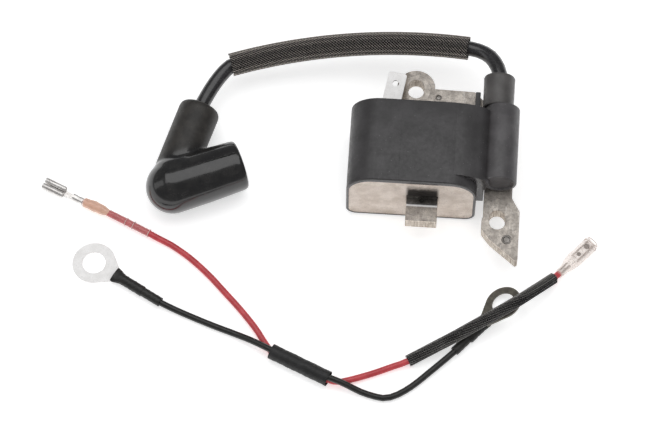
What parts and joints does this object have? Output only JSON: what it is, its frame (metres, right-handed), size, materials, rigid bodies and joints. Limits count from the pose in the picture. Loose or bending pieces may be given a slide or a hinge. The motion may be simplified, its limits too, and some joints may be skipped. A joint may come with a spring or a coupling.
{
  "type": "ignition coil module",
  "caption": "Small-engine ignition coil: potted case on a laminated core with plug lead, elbow boot and a loose two-wire harness with ring and push-on terminals.",
  "frame": {"origin": "under the centre of the coil module, on the surface it lies on", "axes": "+Z out of the module's front face, +Y towards the mounting lug, +X towards the lead tower"},
  "size_m": [0.1899, 0.1296, 0.0288],
  "materials": {
    "case_plastic": "satin moulded plastic",
    "bushing_plastic": "satin moulded plastic",
    "potting_resin": "filled casting resin, speckled",
    "core_steel": "laminated electrical steel",
    "rivet_steel": "plain steel",
    "bobbin_nylon": "moulded nylon",
    "copper_enamel": "enamelled copper wire",
    "circuit_board": "coated board",
    "component_epoxy": "moulded epoxy",
    "tin_plate": "bright tin plate",
    "hook_up_wire": "plain insulation",
    "lead_jacket": "smooth black lead jacket",
    "copper_strand": "stranded copper",
    "woven_sleeve": "woven dark yarn with pale flecks",
    "boot_rubber": "glossy black rubber",
    "spring_steel": "plain spring wire",
    "red_insulation": "smooth red insulation",
    "black_insulation": "smooth black insulation",
    "binder_tube": "matte black tube",
    "shrink_tube": "heat-shrink tube",
    "braid_sleeve": "fine black braid",
    "clear_vinyl": "clear vinyl, slightly yellowed"
  },
  "bodies": {
    "coil_module": {"case_shell": "case_plastic", "potting_resin": "potting_resin", "core_frame": "core_steel", "core_pole": "core_steel", "core_rivet_yoke": "rivet_steel", "core_rivet_leg": "rivet_steel", "pole_collar": "bobbin_nylon", "primary_bobbin": "bobbin_nylon", "primary_winding": "copper_enamel", "secondary_bobbin": "bobbin_nylon", "secondary_winding_1": "copper_enamel", "secondary_winding_2": "copper_enamel", "secondary_winding_3": "copper_enamel", "secondary_winding_4": "copper_enamel", "control_board": "circuit_board", "switching_transistor": "component_epoxy", "bias_resistor": "component_epoxy", "sense_resistor": "component_epoxy", "tower_link": "hook_up_wire", "earth_wire": "hook_up_wire", "kill_tab": "tin_plate", "contact_pin": "tin_plate", "tower_bushing": "bushing_plastic", "lead_jacket": "lead_jacket", "lead_conductor": "copper_strand"},
    "plug_boot": {"boot_body": "boot_rubber", "boot_spring": "spring_steel"},
    "woven_sleeve": {"lead_sleeve": "woven_sleeve"},
    "harness": {"red_wire": "red_insulation", "black_wire": "black_insulation", "binder_tube": "binder_tube", "ring_terminal_a": "tin_plate", "ring_terminal_b": "tin_plate", "ring_shrink_a": "shrink_tube", "ring_shrink_b": "shrink_tube", "receptacle_a": "tin_plate", "receptacle_b": "tin_plate", "clear_sleeve_a": "clear_vinyl", "clear_sleeve_b": "clear_vinyl"},
    "braided_sleeve": {"wire_sleeve": "braid_sleeve"}
  },
  "joints": [
    {"name": "boot_swivel", "type": "hinge", "parent": "coil_module", "child": "plug_boot", "pos_m": [-0.08102, 0.01806, 0.0088], "axis": [-0.274, -0.9617, 0], "continuous": true},
    {"name": "sleeve_slide", "type": "slide", "parent": "coil_module", "child": "woven_sleeve", "axis": [0.9914, 0.0983, 0.086], "range_m": [0, 0.002]},
    {"name": "harness_lift", "type": "slide", "parent": "coil_module", "child": "harness", "axis": [0, 0, 1], "range_m": [0, 0.05]},
    {"name": "braid_slide", "type": "slide", "parent": "harness", "child": "braided_sleeve", "axis": [-0.8221, -0.569, -0.0201], "range_m": [0, 0.001]}
  ]
}
